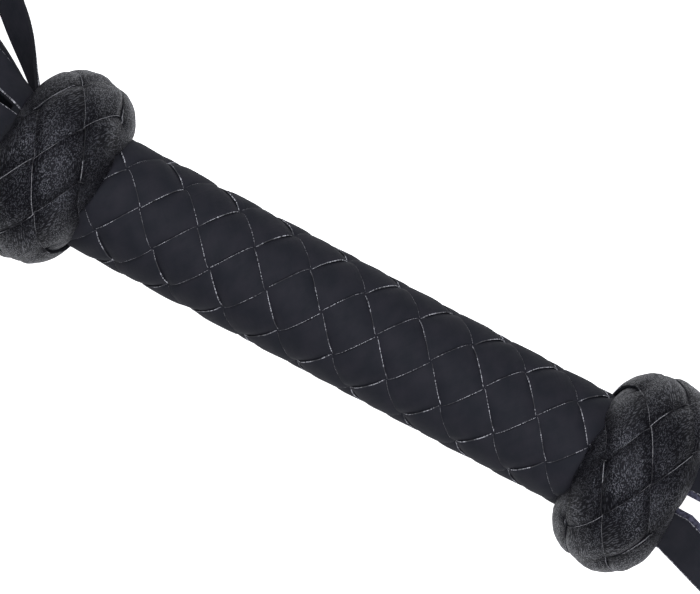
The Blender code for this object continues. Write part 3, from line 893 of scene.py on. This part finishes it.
CAD_LOOKS = (
    (stained_wood, ("core_rod", "front_bolster", "rear_bolster")),
    (felt_look, ("padding_sleeve", "front_knot_foundation", "rear_knot_foundation")),
    (thread_look, ("front_whipping", "rear_whipping", "fall_binding")),
    (nail_steel, ("fall_tack_1", "fall_tack_2", "fall_tack_3", "loop_pin_left", "loop_pin_right")),
    (inner_leather, ("fall_shoulder", "loop_anchor_left", "loop_anchor_right")),
)


def dress_cad_nodes():
    for make_look, names in CAD_LOOKS:
        for name in names:
            piece = frame["nodes"][name]
            if not piece.data.materials:
                piece.data.materials.append(make_look())
            for place in range(len(piece.material_slots)):
                piece.material_slots[place].material = make_look()


# Stage: a pale floor, soft white light and the camera


def pale_floor():
    """White, and bright to the camera alone, so that it lights the object only a little."""
    made, tree, shader = new_look("pale_floor")
    shader.inputs["Base Color"].default_value = (0.93, 0.93, 0.93, 1.0)
    shader.inputs["Roughness"].default_value = 0.9
    shader.inputs["Emission Color"].default_value = (1.0, 1.0, 1.0, 1.0)
    seen = node(tree, "ShaderNodeLightPath")
    strength = node(tree, "ShaderNodeMapRange")
    strength.inputs["To Min"].default_value = 0.10
    strength.inputs["To Max"].default_value = 0.95
    link(tree, seen.outputs["Is Camera Ray"], strength.inputs["Value"])
    link(tree, strength.outputs["Result"], shader.inputs["Emission Strength"])
    return made


def floor():
    mesh = bpy.data.meshes.new("floor")
    level = cad_bounds[0][2] - FLOOR_GAP
    corners = [
        (HANDLE.x + x * FLOOR_REACH, HANDLE.y + y * FLOOR_REACH, level)
        for x, y in ((-1, -1), (1, -1), (1, 1), (-1, 1))
    ]
    mesh.from_pydata(corners, [], [(0, 1, 2, 3)])
    mesh.materials.append(pale_floor())
    made = bpy.data.objects.new("floor", mesh)
    bpy.context.scene.collection.objects.link(made)


def softbox(name, direction, distance, strength):
    lamp = bpy.data.lights.new(name, "AREA")
    lamp.shape = "RECTANGLE"
    lamp.size = lamp.size_y = LAMP_SIDE
    lamp.energy = strength
    lamp.color = (0.95, 0.96, 1.0)
    made = bpy.data.objects.new(name, lamp)
    aim = Vector(direction).normalized()
    made.location = HANDLE + aim * distance
    made.rotation_euler = aim.to_track_quat("Z", "Y").to_euler()
    bpy.context.scene.collection.objects.link(made)


def studio():
    world = bpy.data.worlds.new("soft_white")
    world.use_nodes = True
    back = world.node_tree.nodes["Background"]
    back.inputs["Color"].default_value = (0.90, 0.93, 1.0, 1.0)
    back.inputs["Strength"].default_value = 0.25
    bpy.context.scene.world = world
    bpy.context.scene.view_settings.view_transform = "Standard"
    for name, (direction, distance, strength) in LAMPS.items():
        softbox(name, direction, distance, strength)


def camera():
    lens = bpy.data.cameras.new("camera")
    lens.lens = LENS
    lens.sensor_width = SENSOR_WIDTH
    made = bpy.data.objects.new("camera", lens)
    right = Vector(CAMERA_RIGHT).normalized()
    up = Vector(CAMERA_UP).normalized()
    distance = VIEW_WIDTH * MM * LENS / SENSOR_WIDTH
    made.location = HANDLE + Vector((CAMERA_SIDE * MM, CAMERA_FORWARD * MM, distance))
    made.rotation_euler = Matrix((right, up, Vector((0, 0, 1)))).transposed().to_euler()
    bpy.context.scene.collection.objects.link(made)
    bpy.context.scene.camera = made


def build():
    for index in range(STRAPS_EACH_WAY):
        plait_strap(index, True)
        plait_strap(index, False)
    knot_strip("rear_knot_strip", 1)
    knot_strip("front_knot_strip", -1)
    for name in FALL_HEADINGS:
        fall_strap(name)
    wrist_loop()
    dress_cad_nodes()
    floor()
    studio()
    camera()


build()
